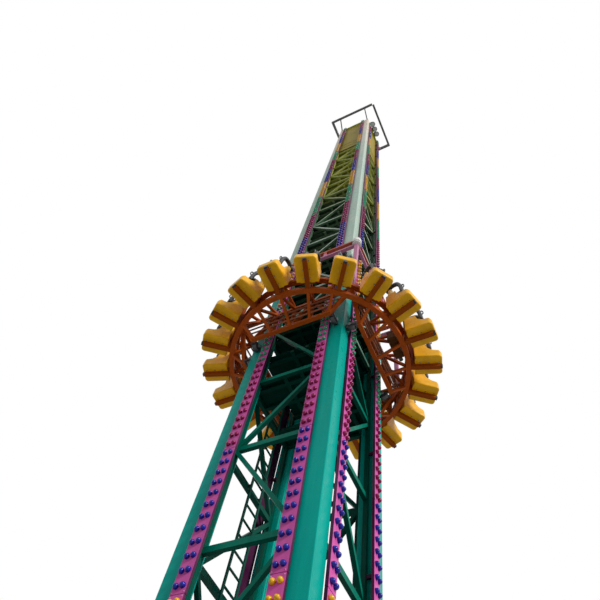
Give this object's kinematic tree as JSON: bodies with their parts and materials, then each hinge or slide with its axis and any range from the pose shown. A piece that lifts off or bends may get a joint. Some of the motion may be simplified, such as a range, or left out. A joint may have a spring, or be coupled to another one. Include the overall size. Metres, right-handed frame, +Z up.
{
  "type": "drop tower ride with a ring gondola",
  "caption": "Fairground drop tower: a square lattice tower with lamp strips and a hoop, and a round gondola of bucket seats that slides on its guide columns.",
  "frame": {"origin": "centre of the foot's bottom face, on the foundation", "axes": "+Z up the tower, -Y is the front"},
  "size_m": [4.55, 4.55, 38.91],
  "materials": {
    "foot_steel": "dark green paint",
    "column_paint": "teal gloss paint",
    "lattice_paint": "green gloss paint",
    "strip_paint": "pink gloss paint",
    "mustard_paint": "mustard paint",
    "hoop_steel": "dark grey paint",
    "rust_paint": "rust orange paint",
    "arm_paint": "brown paint",
    "dark_steel": "dark grey paint",
    "wheel_tread": "polyurethane tread",
    "black_plastic": "moulded plug",
    "seat_shell": "yellow moulded shell",
    "restraint_pad": "black skinned foam"
  },
  "bodies": {
    "tower": {"base_frame": "foot_steel", "base_plates": "foot_steel", "guide_columns": "column_paint", "lattice_front": "lattice_paint", "lattice_right": "lattice_paint", "lattice_back": "lattice_paint", "lattice_left": "lattice_paint", "lamp_strips": "strip_paint", "ladder": "lattice_paint", "plan_bracing": "lattice_paint", "head_frame": "lattice_paint", "head_cladding": "mustard_paint", "top_hoop": "hoop_steel", "head_lamps": "dark_steel"},
    "gondola": {"gondola_frame": "rust_paint", "upper_collar": "rust_paint", "wheel_brackets": "dark_steel", "guide_wheels": "wheel_tread", "seat_arms": "arm_paint", "seat_posts": "arm_paint", "arm_end_caps": "black_plastic", "seats_front": "seat_shell", "seats_right": "seat_shell", "seats_back": "seat_shell", "seats_left": "seat_shell"},
    "restraint_01": {"restraint_01": "restraint_pad"},
    "restraint_02": {"restraint_02": "restraint_pad"},
    "restraint_03": {"restraint_03": "restraint_pad"},
    "restraint_04": {"restraint_04": "restraint_pad"},
    "restraint_05": {"restraint_05": "restraint_pad"},
    "restraint_06": {"restraint_06": "restraint_pad"},
    "restraint_07": {"restraint_07": "restraint_pad"},
    "restraint_08": {"restraint_08": "restraint_pad"},
    "restraint_09": {"restraint_09": "restraint_pad"},
    "restraint_10": {"restraint_10": "restraint_pad"},
    "restraint_11": {"restraint_11": "restraint_pad"},
    "restraint_12": {"restraint_12": "restraint_pad"},
    "restraint_13": {"restraint_13": "restraint_pad"},
    "restraint_14": {"restraint_14": "restraint_pad"},
    "restraint_15": {"restraint_15": "restraint_pad"},
    "restraint_16": {"restraint_16": "restraint_pad"},
    "restraint_17": {"restraint_17": "restraint_pad"},
    "restraint_18": {"restraint_18": "restraint_pad"},
    "restraint_19": {"restraint_19": "restraint_pad"},
    "restraint_20": {"restraint_20": "restraint_pad"}
  },
  "joints": [
    {"name": "gondola_lift", "type": "slide", "parent": "tower", "child": "gondola", "axis": [0, 0, 1], "range_m": [-9.56, 22.5]},
    {"name": "restraint_01_lift", "type": "hinge", "parent": "gondola", "child": "restraint_01", "pos_m": [-1.02745, -1.41416, 11.23], "axis": [-0.809, 0.5878, 0], "range_deg": [0, 80]},
    {"name": "restraint_02_lift", "type": "hinge", "parent": "gondola", "child": "restraint_02", "pos_m": [-0.54016, -1.66245, 11.23], "axis": [-0.9511, 0.309, 0], "range_deg": [0, 80]},
    {"name": "restraint_03_lift", "type": "hinge", "parent": "gondola", "child": "restraint_03", "pos_m": [0, -1.748, 11.23], "axis": [-1, 0, 0], "range_deg": [0, 80]},
    {"name": "restraint_04_lift", "type": "hinge", "parent": "gondola", "child": "restraint_04", "pos_m": [0.54016, -1.66245, 11.23], "axis": [-0.9511, -0.309, 0], "range_deg": [0, 80]},
    {"name": "restraint_05_lift", "type": "hinge", "parent": "gondola", "child": "restraint_05", "pos_m": [1.02745, -1.41416, 11.23], "axis": [-0.809, -0.5878, 0], "range_deg": [0, 80]},
    {"name": "restraint_06_lift", "type": "hinge", "parent": "gondola", "child": "restraint_06", "pos_m": [1.41416, -1.02745, 11.23], "axis": [-0.5878, -0.809, 0], "range_deg": [0, 80]},
    {"name": "restraint_07_lift", "type": "hinge", "parent": "gondola", "child": "restraint_07", "pos_m": [1.66245, -0.54016, 11.23], "axis": [-0.309, -0.9511, 0], "range_deg": [0, 80]},
    {"name": "restraint_08_lift", "type": "hinge", "parent": "gondola", "child": "restraint_08", "pos_m": [1.748, 0, 11.23], "axis": [0, -1, 0], "range_deg": [0, 80]},
    {"name": "restraint_09_lift", "type": "hinge", "parent": "gondola", "child": "restraint_09", "pos_m": [1.66245, 0.54016, 11.23], "axis": [0.309, -0.9511, 0], "range_deg": [0, 80]},
    {"name": "restraint_10_lift", "type": "hinge", "parent": "gondola", "child": "restraint_10", "pos_m": [1.41416, 1.02745, 11.23], "axis": [0.5878, -0.809, 0], "range_deg": [0, 80]},
    {"name": "restraint_11_lift", "type": "hinge", "parent": "gondola", "child": "restraint_11", "pos_m": [1.02745, 1.41416, 11.23], "axis": [0.809, -0.5878, 0], "range_deg": [0, 80]},
    {"name": "restraint_12_lift", "type": "hinge", "parent": "gondola", "child": "restraint_12", "pos_m": [0.54016, 1.66245, 11.23], "axis": [0.9511, -0.309, 0], "range_deg": [0, 80]},
    {"name": "restraint_13_lift", "type": "hinge", "parent": "gondola", "child": "restraint_13", "pos_m": [0, 1.748, 11.23], "axis": [1, 0, 0], "range_deg": [0, 80]},
    {"name": "restraint_14_lift", "type": "hinge", "parent": "gondola", "child": "restraint_14", "pos_m": [-0.54016, 1.66245, 11.23], "axis": [0.9511, 0.309, 0], "range_deg": [0, 80]},
    {"name": "restraint_15_lift", "type": "hinge", "parent": "gondola", "child": "restraint_15", "pos_m": [-1.02745, 1.41416, 11.23], "axis": [0.809, 0.5878, 0], "range_deg": [0, 80]},
    {"name": "restraint_16_lift", "type": "hinge", "parent": "gondola", "child": "restraint_16", "pos_m": [-1.41416, 1.02745, 11.23], "axis": [0.5878, 0.809, 0], "range_deg": [0, 80]},
    {"name": "restraint_17_lift", "type": "hinge", "parent": "gondola", "child": "restraint_17", "pos_m": [-1.66245, 0.54016, 11.23], "axis": [0.309, 0.9511, 0], "range_deg": [0, 80]},
    {"name": "restraint_18_lift", "type": "hinge", "parent": "gondola", "child": "restraint_18", "pos_m": [-1.748, 0, 11.23], "axis": [0, 1, 0], "range_deg": [0, 80]},
    {"name": "restraint_19_lift", "type": "hinge", "parent": "gondola", "child": "restraint_19", "pos_m": [-1.66245, -0.54016, 11.23], "axis": [-0.309, 0.9511, 0], "range_deg": [0, 80]},
    {"name": "restraint_20_lift", "type": "hinge", "parent": "gondola", "child": "restraint_20", "pos_m": [-1.41416, -1.02745, 11.23], "axis": [-0.5878, 0.809, 0], "range_deg": [0, 80]}
  ]
}
